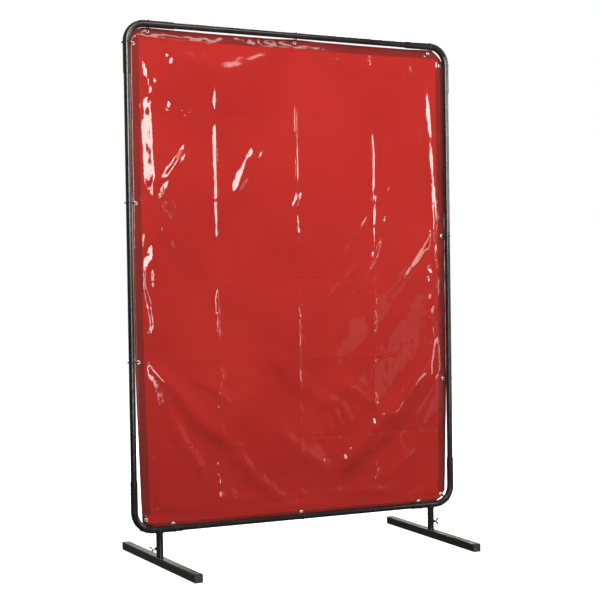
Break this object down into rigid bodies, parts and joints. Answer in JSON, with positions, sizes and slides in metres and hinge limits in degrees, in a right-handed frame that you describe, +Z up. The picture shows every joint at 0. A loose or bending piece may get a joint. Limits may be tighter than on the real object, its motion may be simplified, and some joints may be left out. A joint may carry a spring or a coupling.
{
  "type": "welding curtain screen",
  "caption": "Free-standing tubular frame with rounded corners on two swivelling bar feet, holding a translucent red PVC welding curtain tied on through metal eyelets.",
  "frame": {"origin": "on the floor, midway between the feet and under the frame's centre line", "axes": "+Z up, X along the width of the screen, the frame's front towards -Y with the curtain lying behind the tubes at +Y"},
  "size_m": [1.3386, 0.7006, 1.9438],
  "materials": {
    "powder_coat": "near-black powder coat, semi-gloss, on steel tube",
    "curtain_pvc": "translucent red PVC sheet, glossy, with fold creases and wrinkles",
    "eyelet_metal": "bright nickel plate",
    "tie_nylon": "black nylon",
    "plug_plastic": "black moulded polyethylene",
    "bolt_zinc": "zinc plate, slightly dull"
  },
  "bodies": {
    "frame": {"top_left_elbow": "powder_coat", "top_right_elbow": "powder_coat", "bottom_left_elbow": "powder_coat", "bottom_right_elbow": "powder_coat", "left_upright": "powder_coat", "right_upright": "powder_coat", "top_rail": "powder_coat", "bottom_rail": "powder_coat", "left_stem": "powder_coat", "right_stem": "powder_coat", "left_weld_nut": "powder_coat", "right_weld_nut": "powder_coat", "curtain": "curtain_pvc", "eyelet_top_1": "eyelet_metal", "eyelet_top_2": "eyelet_metal", "eyelet_top_3": "eyelet_metal", "eyelet_bottom_1": "eyelet_metal", "eyelet_bottom_2": "eyelet_metal", "eyelet_bottom_3": "eyelet_metal", "eyelet_left_1": "eyelet_metal", "eyelet_left_2": "eyelet_metal", "eyelet_left_3": "eyelet_metal", "eyelet_left_4": "eyelet_metal", "eyelet_right_1": "eyelet_metal", "eyelet_right_2": "eyelet_metal", "eyelet_right_3": "eyelet_metal", "eyelet_right_4": "eyelet_metal", "tie_top_1": "tie_nylon", "tie_top_2": "tie_nylon", "tie_top_3": "tie_nylon", "tie_bottom_1": "tie_nylon", "tie_bottom_2": "tie_nylon", "tie_bottom_3": "tie_nylon", "tie_left_1": "tie_nylon", "tie_left_2": "tie_nylon", "tie_left_3": "tie_nylon", "tie_left_4": "tie_nylon", "tie_right_1": "tie_nylon", "tie_right_2": "tie_nylon", "tie_right_3": "tie_nylon", "tie_right_4": "tie_nylon"},
    "left_foot": {"left_foot": "powder_coat", "left_foot_spigot": "powder_coat", "left_foot_front_plug": "plug_plastic", "left_foot_rear_plug": "plug_plastic"},
    "right_foot": {"right_foot": "powder_coat", "right_foot_spigot": "powder_coat", "right_foot_front_plug": "plug_plastic", "right_foot_rear_plug": "plug_plastic"},
    "left_wing_bolt": {"left_wing_bolt": "bolt_zinc"},
    "right_wing_bolt": {"right_wing_bolt": "bolt_zinc"}
  },
  "joints": [
    {"name": "left_foot_swivel", "type": "hinge", "parent": "frame", "child": "left_foot", "pos_m": [-0.562, 0, 0], "axis": [0, 0, 1], "range_deg": [-92.9, 87.1]},
    {"name": "right_foot_swivel", "type": "hinge", "parent": "frame", "child": "right_foot", "pos_m": [0.562, 0, 0], "axis": [0, 0, 1], "range_deg": [-88.4, 91.6]},
    {"name": "left_wing_bolt_turn", "type": "hinge", "parent": "frame", "child": "left_wing_bolt", "pos_m": [-0.562, 0, 0.06], "axis": [-1, 0, 0], "range_deg": [0, 720]},
    {"name": "right_wing_bolt_turn", "type": "hinge", "parent": "frame", "child": "right_wing_bolt", "pos_m": [0.562, 0, 0.06], "axis": [1, 0, 0], "range_deg": [0, 720]}
  ]
}
